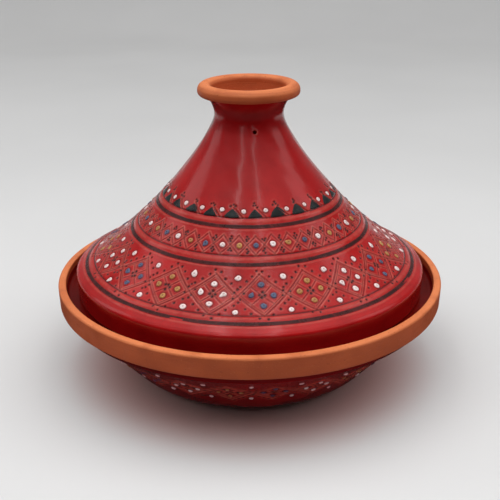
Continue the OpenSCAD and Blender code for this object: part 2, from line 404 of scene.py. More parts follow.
def border_wave(columns, size, seed):
    """How far a dipped glaze's border wanders, in mm, round the axis."""
    draw = np.random.default_rng(seed)
    turn = around(columns)
    total = sum(draw.uniform(0.4, 1) / n ** 0.5 * np.sin(n * turn + draw.uniform(0, 6.3))
                for n in (1, 2, 3, 5, 8, 13, 21, 34))
    return size * total / 2


def steps_between(low, high, pitch):
    """Evenly spaced distances from low to high, about a pitch apart."""
    return np.linspace(low, high, max(2, int(round((high - low) / pitch)) + 1))


# Distances in mm from a skin's rounded free end to the rows that round it
BEAD = np.array([0, 0.05, 0.16, 0.34, 0.6, 0.95])


def end_fullness(gap):
    """How thick a skin is near its free end, from 0 to 1, along a quarter of a circle."""
    return np.sqrt(1 - (1 - np.clip(gap / 0.7, 0, 1)) ** 2)


def border_share(gap):
    """How far a row follows its border's wander: wholly at the border, and not at all 7 mm from it."""
    return (1 - eased(gap / 7))[:, None]


def skin_rows(low, high, zones, free):
    """Distances of a skin's outer rows: the zones' own pitches, and close rows at a free end."""
    inner_low, inner_high = low + 1.4 * free[0], high - 1.4 * free[1]
    parts = []
    for (start, pitch), end in zip(zones, [z[0] for z in zones[1:]] + [high]):
        a, b = max(start, inner_low), min(end, inner_high)
        if b > a:
            parts.append(steps_between(a, b, pitch))
    if free[0]:
        parts.insert(0, low + BEAD)
    if free[1]:
        parts.append(high - BEAD[::-1])
    return np.unique(np.round(np.concatenate(parts), 4))


def shell(outer, under):
    """The outer rows of a skin and then its under rows in return order."""
    return np.concatenate([outer, under[::-1]])


def glaze_skin(name, body, run, relief, paint, free=(False, False), wave=0.5, seed=1):
    """A closed skin of glaze over the rows of a relief. A free end is rounded and wanders;
    the other ends are cut straight, where a painted band hides them."""
    where, columns = relief.where, relief.columns
    low, high = where[0], where[-1]
    sways = [(end, border_wave(columns, wave, seed + number))
             for number, end in enumerate((low, high)) if free[number]]

    def near_border(rows):
        """Distances of rows to the nearest free end, and how far they sway with it."""
        gap = np.min([np.full(len(rows), 99.0)] + [abs(rows - end) for end, _ in sways], axis=0)
        still = np.zeros((len(rows), columns))
        return gap, sum((border_share(abs(rows - end)) * sway for end, sway in sways), still)

    inner = steps_between(low + 0.2 * free[0], high - 0.2 * free[1], 3.5)
    gap, wander = near_border(where)
    inner_gap, inner_wander = near_border(inner)
    roll = 0.14 * np.exp(-((gap - 1.3) / 0.8) ** 2)
    points, facing = frames_at(run, where)
    under_points, under_facing = frames_at(run, inner)
    outer_height = (relief.height + relief.uneven) * eased(gap / 1.5)[:, None]
    outer_height = outer_height + (roll - GLAZE * (1 - end_fullness(gap)))[:, None]
    blank = np.zeros((len(inner), columns))
    inner_height = blank - (GLAZE + 0.4 * eased((inner_gap - 1) / 2))[:, None]
    verts, faces = turned(shell(points, under_points), shell(facing, under_facing), columns,
                          shell(outer_height, inner_height), shell(wander, inner_wander))
    marks = {"sunk": shell(relief.sunk, blank), "raised": shell(relief.raised, blank),
             "thin": shell(np.exp(-gap / 0.5)[:, None] + 0 * relief.sunk, blank)}
    return add_piece(name, verts, faces, body, "red_glaze", paint, f"{body}_outer_glaze", marks)


def inside_skin(body, run, side, columns, paint, seed):
    """The glaze on the inside of a hollow, from the axis out to a border that wanders a little.
    The run starts on the axis, with the open air on its right for side 1, or its left for -1."""
    high = lengths(run)[-1]
    where = np.unique(np.r_[steps_between(0, high - 1.4, 1.6), high - BEAD])
    gap = high - where
    inner = np.r_[0, steps_between(4, high - 0.25, 4)]
    sway = border_wave(columns, 0.45, seed)
    points, facing = frames_at(run, where)
    under_points, under_facing = frames_at(run, inner)
    soft = np.minimum(1, where / 12) * eased(gap / 4)
    height = GLAZE * end_fullness(gap)[:, None] + soft[:, None] * ripple(where, columns, 0.06, seed)
    under_height = np.zeros((len(inner), columns)) - 0.02
    verts, faces = turned(shell(points, under_points), shell(facing, under_facing) * side, columns,
                          shell(height, under_height),
                          shell(border_share(gap), border_share(high - inner)) * sway, poles=True)
    return add_piece(f"{body}_glaze_inside", verts, faces, body, "red_glaze", paint, f"{body}_inner_glaze")


def thrown(points, columns, size, seed):
    """Throwing rings and slight unevenness of turned clay, in mm."""
    draw = np.random.default_rng(seed)
    place = lengths(points)[:, None]
    turn = around(columns)[None]
    total = 0
    for _ in range(10):
        length, climb = draw.uniform(1.8, 9), draw.integers(0, 3)
        total = total + np.sin(2 * math.pi * place / length + climb * turn + draw.uniform(0, 6.3))
    return size * total / 3


def clay_wall(body, points, columns, size, seed, paint):
    """A solid of turned clay from a profile that starts and ends on the axis. Its upward faces near the top
    get a paler mark, partly wear and partly painted light.
    """
    rough = (thrown(points, columns, size, seed) - 0.09) * eased(points[:, :1] / 8)
    facing = normals(points)
    # Painted light, partly wear: faces that look up, within 8 mm of the top, are marked to be paler, as if
    # lit from above.
    lighter_tone = eased((facing[:, 1] + 0.2) / 1.1) * eased((points[:, 1] - points[:, 1].max() + 8) / 5)
    verts, faces = turned(points, facing, columns, rough, poles=True)
    return add_piece(f"{body}_clay", verts, faces, body, "bare_clay", paint, f"{body}_body",
                     {"lighter_tone": np.repeat(lighter_tone, columns)})


def sunk_under_glaze(run, pitch):
    """A clay surface a little below its glaze, level with the bare clay again near the borders."""
    where = steps_between(0, lengths(run)[-1], pitch)
    where = np.unique(np.r_[where, 0.5, 1, 1.6, 2.2, 3, where[-1] - np.array([0.5, 1, 1.6, 2.2, 3])])
    gap = np.minimum(where, where[-1] - where)
    points, facing = frames_at(run, where)
    return points - facing * (0.44 * eased((gap - 1) / 2))[:, None]


# ---- enamel and paint

def blob(run, turn, place, outline, rise, dimple):
    """A small closed pad that lies on a turned surface; its outline is in mm across and along.
    Gives its points, its faces, and how far each point is from the middle, from 0 to 1."""
    outline = np.asarray(outline, float)
    levels = [(1, -0.16), (1.016, 0.06) if dimple else (0.995, 0.1)]
    levels += [(s, rise * (1 - (s - 0.02) ** 4) ** 0.75 - dimple * math.exp(-(s / 0.3) ** 2))
               for s in (0.97, 0.9, 0.78, 0.62, 0.45, 0.3, 0.15)]
    spots = [(outline * scale, height) for scale, height in levels]
    spots.append((np.zeros((1, 2)), rise - dimple))
    spots.append((outline * 0.6, -0.3))
    spots.append((np.zeros((1, 2)), -0.3))
    flat = np.concatenate([s for s, _ in spots])
    height = np.concatenate([np.full(len(s), h) for s, h in spots])
    base, facing = frames_at(run, place + flat[:, 1])
    angle = math.radians(turn) + flat[:, 0] / base[:, 0]
    r = base[:, 0] + facing[:, 0] * height
    z = base[:, 1] + facing[:, 1] * height
    verts = np.stack([r * np.sin(angle), -r * np.cos(angle), z], -1)
    n = len(outline)
    last = (len(levels) - 1) * n
    top, low = last + n, last + n + 1
    pairs = [(i, (i + 1) % n) for i in range(n)]
    faces = [[a + i, a + j, a + n + j, a + n + i] for a in range(0, last, n) for i, j in pairs]
    faces += [[last + i, last + j, top] for i, j in pairs]
    faces += [[i, low + i, low + j, j] for i, j in pairs]
    faces += [[low + i, low + n, low + j] for i, j in pairs]
    reach = np.hypot(flat[:, 0], flat[:, 1])
    return verts, faces, reach / reach.max()


def dab_outline(draw, size, tail):
    """A hand-set drop of enamel: nearly round, sometimes drawn out to one side."""
    turn = around(20)
    radius = np.full(20, float(size))
    for waves, share in ((2, 0.07), (3, 0.05), (4, 0.025)):
        radius *= 1 + share * draw.uniform(0.3, 1) * np.cos(waves * turn + draw.uniform(0, 6.3))
    away = draw.uniform(0, 6.3)
    radius += tail * np.exp(-(np.angle(np.exp(1j * (turn - away))) / 0.42) ** 2)
    return np.stack([radius * np.cos(turn), radius * np.sin(turn)], -1)


def merged(parts):
    """The points and faces of several (points, faces, ...) as one."""
    starts = np.cumsum([0] + [len(part[0]) for part in parts]).tolist()
    faces = [[start + v for v in face] for start, part in zip(starts, parts) for face in part[1]]
    return np.concatenate([part[0] for part in parts]), faces


def joined_blobs(name, blobs, body, slot, paint, node):
    """Many small closed pads as one piece, each with a tint of its own and a darker eye."""
    tint = np.concatenate([np.full(len(b[0]), (n * 0.618) % 1) for n, b in enumerate(blobs)])
    reach = np.concatenate([b[2] for b in blobs])
    add_piece(name, *merged(blobs), body, slot, paint, node,
              {"tint": tint, "eye": np.exp(-(reach / 0.26) ** 2), "border": eased((reach - 0.6) / 0.4)})


def enamel_dabs(body, dabs, run, paints, seed):
    """The dabs of each colour, where the CAD has its dots. A quarter of the large ones have a tail."""
    for number, colour in enumerate(COLOURS):
        draw = np.random.default_rng(seed + number)
        blobs = []
        for turn, place, size in dabs[colour]:
            small = size < 1.8
            tail = draw.uniform(0.5, 1.5) if draw.random() < 0.25 and not small else 0
            outline = dab_outline(draw, size * draw.uniform(0.82, 0.95) - tail * 0.12, tail)
            rise, dimple = draw.uniform(0.5, 0.7), draw.uniform(0.1, 0.3)
            blobs.append(blob(run, turn, place, outline, rise, dimple))
        joined_blobs(f"{body}_dabs_{colour}", blobs, body, f"{colour}_enamel", paints[colour],
                     f"{body}_{colour}_dots")


def triangle_outline(draw, width, height):
    """A brushed triangle with soft corners and uneven sides, about the middle of its area."""
    corners = np.array([[-width / 2, -height / 3], [width / 2, -height / 3], [0, height * 2 / 3]])
    corners += draw.normal(0, 0.28, (3, 2))
    sides = []
    for i in range(3):
        a, b = corners[i], corners[(i + 1) % 3]
        share = np.linspace(0.07, 0.93, 10)[:, None]
        bow = np.array([a[1] - b[1], b[0] - a[0]]) / np.linalg.norm(b - a)
        sway = draw.normal(0.34, 0.2) * np.sin(math.pi * share) + draw.normal(0, 0.06, (10, 1))
        bow = -bow if bow @ ((a + b) / 2) < 0 else bow
        sides.append(a + (b - a) * share + bow * sway)
    return np.concatenate(sides)


def painted_ring(run, place, half, rise, columns, seed):
    """A brushed ring of paint round a turned surface: crowned, with sides that wander."""
    across = np.array([-1, -0.985, -0.93, -0.82, -0.62, -0.4, -0.15, 0.15, 0.4, 0.62, 0.82, 0.93, 0.985, 1])
    under = np.array([0.8, 0.3, -0.3, -0.8])
    level = rise * (1 - np.abs(across) ** 6) ** 0.7
    level[0] = level[-1] = -0.2
    draw = np.random.default_rng(seed)
    wander = border_wave(columns, 0.16, seed)
    width = 1 + border_wave(columns, 0.05, seed + 5)
    offsets = np.r_[across, under] * half
    points, facing = frames_at(run, place + offsets)
    bristle = sum(draw.uniform(0.5, 1) * np.sin(np.r_[across, under][:, None] * draw.uniform(3, 9)
                  + border_wave(columns, 2.0, seed + 11 + i)) for i in range(5)) / 5
    inside = np.r_[eased((1 - abs(across)) * 6), under * 0][:, None]
    height = np.r_[level, under * 0 - 0.3][:, None] + 0.05 * bristle * inside
    slide = wander + offsets[:, None] * (width - 1)
    border = np.r_[eased((abs(across) - 0.5) / 0.5), under * 0 + 1][:, None] + 0 * height
    verts, faces = turned(points, facing, columns, height, slide)
    return verts, faces.tolist(), border.ravel()


# ---- the engraving

def mark_band(relief, place):
    """What goes with a painted band: a ridge and a cut line above it, and a low ridge below it."""
    relief.ring(place + 3.5, -0.34, 1.35, wander=0.12)
    relief.ring(place + 5.9, 0.42, 0.5, dark=0.95, wander=0.2)
    relief.ring(place - 2.5, -0.14, 0.7, wander=0.1)


def row_middle(row, count):
    """Turn of the front one in a row of evenly spaced dabs, and the middle of their places."""
    return phase([d[0] for d in row], count), float(np.mean([d[1] for d in row]))


def diamonds(relief, row, half_height, count, seed):
    """A row of double-lined diamonds with a cross in each, and rows of punched dots beside them."""
    depth = 0.3
    draw = np.random.default_rng(seed)
    first_turn, centre = row_middle(row, count)
    radius = float(np.interp(centre, relief.where, relief.radii))
    step = 360 / count
    half = step / 2

    def jitter(size=0.3):
        return math.degrees(draw.normal(0, size) / radius), draw.normal(0, size)

    nodes = [jitter() for _ in range(count)]
    for number in range(count):
        turn = first_turn + number * step
        left, right = nodes[number - 1], nodes[number]
        top, low = jitter(0.5), jitter(0.5)
        corners = [(turn - half + left[0], centre + left[1]),
                   (turn + top[0], centre + half_height + top[1]),
                   (turn + half + right[0], centre + right[1]),
                   (turn + low[0], centre - half_height + low[1])]
        middle = (turn, centre)
        sides = list(zip(corners, corners[1:] + corners[:1]))
        for a, b in sides:
            reach = draw.uniform(-0.02, 0.05)
            relief.line(part_way(a, b, -reach), part_way(a, b, 1 + reach), depth * 1.1, 0.5, 0.22)
            inner_a, inner_b = part_way(a, middle, 0.13), part_way(b, middle, 0.13)
            relief.line(part_way(inner_a, inner_b, draw.uniform(0, 0.06)),
                        part_way(inner_a, inner_b, 1 - draw.uniform(0, 0.06)), depth * 0.6, 0.34)
        for i in range(2):
            a = part_way(corners[i], corners[i + 1], 0.5)
            b = part_way(corners[i + 2], corners[(i + 3) % 4], 0.5)
            a, b = part_way(a, middle, 0.12), part_way(b, middle, 0.12)
            relief.line(a, b, depth * 0.85, 0.38)
        for a, b in sides:
            for share in (0.14, 0.34, 0.54, 0.74, 0.92):
                spot = part_way(part_way(a, b, share), middle, -0.27 - 0.06 * draw.random())
                relief.pit(spot[0] + jitter(0.25)[0], spot[1] + draw.normal(0, 0.25),
                           draw.uniform(0.6, 0.78))
        for across, along_by in ((-1.6, 0.2), (1.7, -0.3), (0.2, 1.7), (-0.2, -1.8)):
            relief.pit(turn + math.degrees(across / radius) + jitter(0.25)[0],
                       centre + along_by + draw.normal(0, 0.3), draw.uniform(0.7, 0.95))


def part_way(a, b, share):
    return a[0] + (b[0] - a[0]) * share, a[1] + (b[1] - a[1]) * share


def punched(relief, draw, turn, place, radius, spots, share, stray, sizes):
    """A loose cluster of dots, at offsets across and along in mm; a share of them is there."""
    for across, up in spots:
        if draw.random() < share:
            relief.pit(turn + math.degrees((across + draw.normal(0, stray)) / radius),
                       place + up + draw.normal(0, stray), draw.uniform(*sizes))


def lattice(relief, row, half_height, count, seed):
    """Crossing strokes with a cell for each dab, and punched clusters above and below the crossings."""
    draw = np.random.default_rng(seed)
    first_turn, centre = row_middle(row, count)
    radius = float(np.interp(centre, relief.where, relief.radii))
    half = 180 / count
    for number in range(count):
        turn = first_turn + number * 2 * half
        for side in (-1, 1):
            for rise in (-1, 1):
                a = (turn + draw.normal(0, 0.2), centre + rise * (half_height + draw.normal(0, 0.4)))
                b = (turn + side * half * 1.12, centre - rise * half_height * 0.12 + draw.normal(0, 0.25))
                relief.line(a, b, 0.3, 0.42)
        for rise in (-1, 1):
            spots = [(-0.9, 3.9 * rise), (0.95, 4.1 * rise), (0.1, 5.5 * rise), (-0.1, 2.6 * rise)]
            punched(relief, draw, turn + half, centre, radius, spots, 0.86, 0.2, (0.58, 0.72))


def triangle_marks(relief, places, height, width, seed):
    """By each black triangle, a slanting cut along its right side and punched dots over its tip."""
    draw = np.random.default_rng(seed)
    for turn, base in places:
        radius = float(np.interp(base, relief.where, relief.radii))
        to_turn = math.degrees(1 / radius)
        start = (turn + draw.uniform(0.2, 1.0) * to_turn, base + height + draw.uniform(0.0, 1.0))
        end = (turn + (width / 2 + draw.uniform(1.2, 2.2)) * to_turn, base + draw.uniform(-0.6, 0.2))
        relief.line(start, end, 0.36, 0.48, 0.28)
        spots = [(-1.5, 1.5), (0.1, 2.1), (1.5, 1.2), (-0.3, 3.7)]
        punched(relief, draw, turn, base + height, radius, spots, 0.8, 0.25, (0.55, 0.72))


def press_dabs(relief, places):
    """A slight dip and a dark ring round each dab of enamel."""
    for turn, place, size in places:
        spot, across, where = relief.patch(turn, place - size - 2, place + size + 2, size + 2)
        gap = np.hypot(across, where - place) - size
        relief.height[spot] -= 0.06 * np.exp(-((gap - 0.1) / 0.5) ** 2)
        relief.sunk[spot] = np.maximum(relief.sunk[spot], 0.55 * np.exp(-((gap - 0.25) / 0.45) ** 2))


def make_relief(run, where, columns, seed, unevenness=0.05):
    points, _ = frames_at(run, where)
    relief = Relief(points[:, 0], where, columns)
    relief.uneven = ripple(where, columns, unevenness, seed)
    return relief


# ---- materials

def new_material(name):
    material = bpy.data.materials.new(name)
    material.use_nodes = True
    return material, material.node_tree, material.node_tree.nodes["Principled BSDF"]


def wire(tree, made, inputs):
    """Gives each named input of a node a value of its own, or a link from a socket."""
    for key, value in inputs.items():
        if isinstance(value, bpy.types.NodeSocket):
            tree.links.new(value, made.inputs[key])
        else:
            made.inputs[key].default_value = value


def add_node(tree, kind, inputs, **settings):
    made = tree.nodes.new(kind)
    for key, value in settings.items():
        setattr(made, key, value)
    wire(tree, made, inputs)
    return made


def object_place(tree, stretch=(1, 1, 1)):
    place = add_node(tree, "ShaderNodeTexCoord", {}).outputs["Object"]
    return add_node(tree, "ShaderNodeMapping", {"Vector": place, "Scale": stretch}).outputs["Vector"]


def noise(tree, place, scale, detail=3, rough=0.55):
    return add_node(tree, "ShaderNodeTexNoise", {
        "Vector": place, "Scale": scale, "Detail": detail, "Roughness": rough}).outputs["Fac"]


def spread(tree, value, low, high, to_low=0.0, to_high=1.0):
    return add_node(tree, "ShaderNodeMapRange", {
        "Value": value, "From Min": low, "From Max": high, "To Min": to_low, "To Max": to_high},
        interpolation_type="SMOOTHSTEP").outputs["Result"]


def mark(tree, name):
    return add_node(tree, "ShaderNodeAttribute", {}, attribute_name=name).outputs["Fac"]


def times(tree, a, b):
    return add_node(tree, "ShaderNodeMath", {0: a, 1: b}, operation="MULTIPLY").outputs[0]


def blend(tree, factor, a, b):
    """A colour between two, by a factor."""
    a, b = ((*colour, 1) if isinstance(colour, tuple) else colour for colour in (a, b))
    return add_node(tree, "ShaderNodeMix", {0: factor, 6: a, 7: b}, data_type="RGBA",
                    clamp_factor=True).outputs[2]


def mottled(tree, body, place, scale, low, high, share, colour, detail=3, rough=0.55):
    """A colour with soft patches of another, up to a share of it, where a noise is high."""
    patches = spread(tree, noise(tree, place, scale, detail, rough), low, high, 0, share)
    return blend(tree, patches, body, colour)


def wandering(tree, place, scale, low, high, detail=4):
    """A value that wanders between two over the surface."""
    return spread(tree, noise(tree, place, scale, detail), 0.3, 0.7, low, high)


def bumps(tree, place, scale, detail, strength, distance, rough=0.55, below=None):
    """A normal roughened by noise, on top of the normal below it if there is one."""
    inputs = {"Height": noise(tree, place, scale, detail, rough), "Strength": strength,
              "Distance": distance}
    if below is not None:
        inputs["Normal"] = below
    return add_node(tree, "ShaderNodeBump", inputs).outputs["Normal"]


def red_glaze(name, deep, bright, engraved=True, gloss=1.0):
    """Glossy red glaze: uneven depth of colour, dark where it pools in cuts and where shade is painted, and
    pale where it is thin or a highlight is painted.
    """
    material, tree, shader = new_material(name)
    place = object_place(tree)
    run = object_place(tree, (1, 1, 0.35))
    body = mottled(tree, deep, run, 22, 0.34, 0.68, 1, bright, 4)
    body = mottled(tree, body, place, 70, 0.42, 0.75, 0.35, tuple(0.62 * c for c in deep), 5, 0.65)
    body = mottled(tree, body, place, 900, 0.68, 0.78, 0.5, (0.05, 0.003, 0.004), 2)
    if engraved:
        # Pale where the glaze is thin over ridges; by the steam vent this pale mark is a painted highlight.
        pale = times(tree, mark(tree, "raised"), spread(tree, noise(tree, place, 160), 0.3, 0.6, 0.35, 1))
        body = blend(tree, times(tree, pale, 0.85), body, (0.60, 0.105, 0.075))
        # Dark where the glaze pools in cuts and dots, and painted shade on the lid's side wall, below the
        # collar on the neck and under the dish's rim.
        body = blend(tree, mark(tree, "sunk"), body, (0.040, 0.0020, 0.0025))
        body = blend(tree, times(tree, mark(tree, "thin"), 0.75), body, (0.16, 0.02, 0.008))
    peel = bumps(tree, place, 260, 3, 0.16, 0.0004)
    wire(tree, shader, {
        "Base Color": body,
        "Roughness": wandering(tree, place, 45, 0.17, 0.27),
        "Normal": bumps(tree, run, 60, 2, 0.25, 0.0008, below=peel),
        "IOR": 1.46,
        "Specular IOR Level": 0.5 * gloss,
        "Coat Weight": 0.15 * gloss,
        "Coat Roughness": 0.06})
    return material


def terracotta(name):
    """Bare fired clay: grainy, with turning lines, dark and pale specks, and a paler top that is partly
    wear and partly painted light.
    """
    material, tree, shader = new_material(name)
    place = object_place(tree)
    rings = object_place(tree, (0.2, 0.2, 12))
    body = mottled(tree, (0.38, 0.067, 0.017), place, 30, 0.35, 0.7, 1, (0.47, 0.090, 0.026), 5)
    # Painted light, partly wear: a paler colour on the upward faces near the top, where the light falls.
    lighter_tone = times(tree, mark(tree, "lighter_tone"), spread(tree, noise(tree, place, 60, 3), 0.25, 0.55, 0.6, 1))
    body = blend(tree, lighter_tone, body, (0.77, 0.235, 0.088))
    body = mottled(tree, body, rings, 55, 0.4, 0.75, 0.4, (0.42, 0.072, 0.022))
    body = mottled(tree, body, place, 700, 0.62, 0.74, 0.55, (0.28, 0.050, 0.016), 2)
    body = mottled(tree, body, place, 1100, 0.66, 0.76, 0.5, (0.70, 0.24, 0.11), 2)
    body = mottled(tree, body, place, 9, 0.5, 0.8, 0.3, (0.40, 0.064, 0.019), 4)
    grain = bumps(tree, place, 1400, 4, 0.35, 0.0003, 0.7)
    wire(tree, shader, {
        "Base Color": body,
        "Roughness": wandering(tree, place, 120, 0.46, 0.66),
        "Normal": bumps(tree, rings, 110, 3, 0.4, 0.0006, below=grain),
        "IOR": 1.34})
    return material


def enamel(name, middle, shade, spot, edge):
    """A raised drop of glossy enamel: each a little different, with a darker eye and edge."""
    material, tree, shader = new_material(name)
    place = object_place(tree)
    body = blend(tree, mark(tree, "tint"), middle, shade)
    body = mottled(tree, body, place, 420, 0.5, 0.75, 0.4, spot)
    body = blend(tree, times(tree, mark(tree, "eye"), 0.75), body, tuple(0.5 * c for c in spot))
    body = blend(tree, times(tree, mark(tree, "border"), 0.5), body, edge)
    wire(tree, shader, {
        "Base Color": body,
        "Roughness": wandering(tree, place, 300, 0.16, 0.34, 3),
        "Normal": bumps(tree, place, 650, 3, 0.3, 0.0004),
        "IOR": 1.5,
        "Coat Weight": 0.3,
        "Coat Roughness": 0.1})
    return material


def black_paint(name, dark, lighter_tone, glaze):
    """Brushed black under a thin glaze: streaky, with the red showing through here and there."""
    material, tree, shader = new_material(name)
    place = object_place(tree)
    body = mottled(tree, dark, place, 90, 0.38, 0.68, 1, lighter_tone, 5, 0.7)
    body = mottled(tree, body, place, 320, 0.55, 0.75, 0.6, glaze, 4, 0.6)
    body = blend(tree, times(tree, mark(tree, "border"), 0.75), body, glaze)
    wire(tree, shader, {
        "Base Color": body,
        "Roughness": wandering(tree, place, 150, 0.22, 0.42),
        "Normal": bumps(tree, place, 500, 4, 0.35, 0.0005, 0.65),
        "IOR": 1.37,
        "Coat Weight": 0.06,
        "Coat Roughness": 0.2})
    return material


lid_red = red_glaze("red_glaze_lid", (0.37, 0.0040, 0.0050), (0.48, 0.0065, 0.0075))
# Painted shade: the bowl's red glaze is a darker copy of the lid's, for the bowl in the shade under the
# rim.
bowl_red_shaded = red_glaze("red_glaze_bowl_shaded", (0.17, 0.003, 0.004), (0.25, 0.004, 0.005), gloss=0.25)
# Painted shade: the inside glaze is a darker copy of the red glaze, for the shaded walls of the gallery and
# the hollows.
inner_red_shaded = red_glaze("red_glaze_inside_shaded", (0.12, 0.003, 0.002), (0.18, 0.005, 0.003), engraved=False,
                      gloss=0.12)
clay = terracotta("bare_terracotta")
LID_TONES = {
    "white": ((0.95, 0.84, 0.82), (0.90, 0.72, 0.70), (0.74, 0.42, 0.40), (0.76, 0.34, 0.33)),
    "yellow": ((0.54, 0.28, 0.075), (0.46, 0.20, 0.06), (0.32, 0.09, 0.03), (0.34, 0.06, 0.02)),
    "blue": ((0.095, 0.125, 0.225), (0.085, 0.095, 0.17), (0.07, 0.04, 0.07), (0.12, 0.02, 0.04))}
# Painted shade: dimmer copies of the lid's enamel colours, for the dabs on the shaded bowl.
SHADED_BOWL_TONES = {
    "white": ((0.80, 0.62, 0.63), (0.66, 0.42, 0.44), (0.50, 0.22, 0.24), (0.46, 0.14, 0.15)),
    "yellow": ((0.36, 0.15, 0.055), (0.30, 0.10, 0.04), (0.20, 0.04, 0.02), (0.18, 0.02, 0.01)),
    "blue": ((0.075, 0.055, 0.12), (0.06, 0.04, 0.09), (0.06, 0.02, 0.04), (0.08, 0.01, 0.02))}
lid_enamels = {c: enamel(f"{c}_enamel", *LID_TONES[c]) for c in COLOURS}
shaded_bowl_enamels = {c: enamel(f"{c}_enamel_bowl_shaded", *SHADED_BOWL_TONES[c]) for c in COLOURS}
band_black = black_paint("black_bands", (0.030, 0.005, 0.005), (0.075, 0.009, 0.009), (0.22, 0.006, 0.007))
triangle_black = black_paint("black_triangles", (0.008, 0.010, 0.011), (0.024, 0.030, 0.030),
                             (0.022, 0.016, 0.016))


# ---- the steam vent

vent_place = along(lid_outside, *bezier(sweep, 1, VENT_SHARE)[0])


def drill_vent(piece):
    """Cuts the steam vent through a piece, and keeps its rim crisp."""
    point, facing = frames_at(lid_outside, np.array([vent_place]))
    turn = math.radians(VENT_TURN)
    out, mouth = (Vector((r * math.sin(turn), -r * math.cos(turn), z)) for r, z in (facing[0], point[0]))
    middle = (mouth - out * 4) * MM
    way = Matrix.Translation(middle) @ out.to_track_quat("Z", "Y").to_matrix().to_4x4()
    work = bmesh.new()
    bmesh.ops.create_cone(work, cap_ends=True, segments=28, radius1=VENT_D / 2 * MM,
                          radius2=VENT_D / 2 * MM, depth=24 * MM, matrix=way)
    mesh = bpy.data.meshes.new("vent_drill")
    work.to_mesh(mesh)
    work.free()
    drill = bpy.data.objects.new("vent_drill", mesh)
    bpy.context.scene.collection.objects.link(drill)
    cut = piece.modifiers.new("vent", "BOOLEAN")
    cut.object, cut.operation, cut.solver = drill, "DIFFERENCE", "EXACT"
    graph = bpy.context.evaluated_depsgraph_get()
    made = bpy.data.meshes.new_from_object(piece.evaluated_get(graph), depsgraph=graph)
    piece.modifiers.clear()
    old, piece.data = piece.data, made
    made.name = piece.name
    bpy.data.meshes.remove(old)
    bpy.data.objects.remove(drill)
    bpy.data.meshes.remove(mesh)
    made.shade_smooth()
    made.set_sharp_from_angle(angle=math.radians(50))


# ---- the lid

band_3, band_2, band_1 = bands
DIAMONDS, DIAMOND_HALF = 20, 14.3
CELLS, CELL_HALF = 42, 6.6
TRIANGLE_W, TRIANGLE_H = 10.6, 6.2
coloured = lid_dabs["yellow"] + lid_dabs["blue"]
wide_row = [d for d in coloured if band_3 < d[1] < band_2]
narrow_row = [d for d in coloured if band_2 < d[1] < band_1]


def marks_on(relief):
    """The bands' ridges and cuts, and the dark rings round the dabs, in one zone of the lid."""
    for place in (band_1, band_2, band_3):
        mark_band(relief, place)
    low, high = relief.where[[0, -1]]
    press_dabs(relief, [d for d in lid_dabs["white"] + coloured if low - 3 < d[1] < high + 3])


def lid_skirt():
    where = skin_rows(0, band_3, [(0, 0.9), (14, 0.5), (19, 0.6)], (True, False))
    relief = make_relief(lid_glaze_run, where, 480, 3, 0.09)
    marks_on(relief)
    # Painted shade: the lowest 16 mm of the lid's glaze, the side wall that stands in the dish's gallery,
    # is darkened.
    relief.sunk = np.maximum(relief.sunk, 0.22 * eased((16 - where) / 3)[:, None])
    glaze_skin("lid_glaze_skirt", "lid", lid_glaze_run, relief, lid_red, (True, False), 0.3, 21)


def lid_zone(name, low, high, pitch, columns, seed, engrave, *pattern):
    """The glaze between two bands, with its row of engraving."""
    where = skin_rows(low, high, [(low, pitch)], (False, False))
    relief = make_relief(lid_glaze_run, where, columns, seed)
    engrave(relief, *pattern)
    marks_on(relief)
    glaze_skin(name, "lid", lid_glaze_run, relief, lid_red)


def lid_wide_zone():
    lid_zone("lid_glaze_diamonds", band_3, band_2, 0.53, 1100, 4,
             diamonds, wide_row, DIAMOND_HALF, DIAMONDS, 31)


def lid_narrow_zone():
    lid_zone("lid_glaze_lattice", band_2, band_1, 0.5, 900, 5,
             lattice, narrow_row, CELL_HALF, CELLS, 41)


def lid_neck():
    zones = [(band_1, 0.55), (116, 1.3), (vent_place - 4, 0.6), (vent_place + 4, 1.1)]
    where = skin_rows(band_1, lengths(lid_glaze_run)[-1], zones, (False, True))
    relief = make_relief(lid_glaze_run, where, 640, 6, 0.06)
    triangle_marks(relief, triangles, TRIANGLE_H + 0.1, TRIANGLE_W - 0.4, 51)
    marks_on(relief)
    # Painted highlight: a raised crescent on the right side of the steam vent's rim is also made pale, as
    # an edge catching the light.
    spot, across, place = relief.patch(VENT_TURN, vent_place - 4, vent_place + 4, 4)
    lip = np.exp(-((np.hypot(across, place - vent_place) - 1.8) / 0.45) ** 2) * np.clip(across, 0, 1)
    relief.height[spot] += 0.35 * lip
    relief.raised[spot] = np.maximum(relief.raised[spot], 0.8 * lip)
    # Painted shade: the glaze from just above the vent up the neck to the collar is darkened, most just
    # above the vent.
    above = where - vent_place - 2
    painted_shade = 0.2 * eased(above / 6) + 0.25 * np.exp(-((above - 0.5) / 3.5) ** 2)
    relief.sunk = np.maximum(relief.sunk, painted_shade[:, None])
    drill_vent(glaze_skin("lid_glaze_neck", "lid", lid_glaze_run, relief, lid_red, (False, True), 0.5, 23))


def lid_clay():
    profile = joined(lid_seat, sunk_under_glaze(lid_outside, 3.5), collar)
    inside = at(lid_inside, steps_between(0, lengths(lid_inside)[-1], 2.2))
    profile = joined(inside, [[lid_r - 8, seat_z + 0.5]], profile)
    drill_vent(clay_wall("lid", profile, 300, 0.05, 61, clay))


def lid_inner_skin():
    drill_vent(inside_skin("lid", lid_inside, 1, 300, inner_red_shaded, 71))


def lid_bands():
    rings = [painted_ring(lid_glaze_run, place, 1.5, 0.12, 720, 81 + number)
             for number, place in enumerate(bands)]
    add_piece("lid_bands", *merged(rings), "lid", "black_paint", band_black, "lid_black_bands",
              {"border": np.concatenate([ring[2] for ring in rings])})


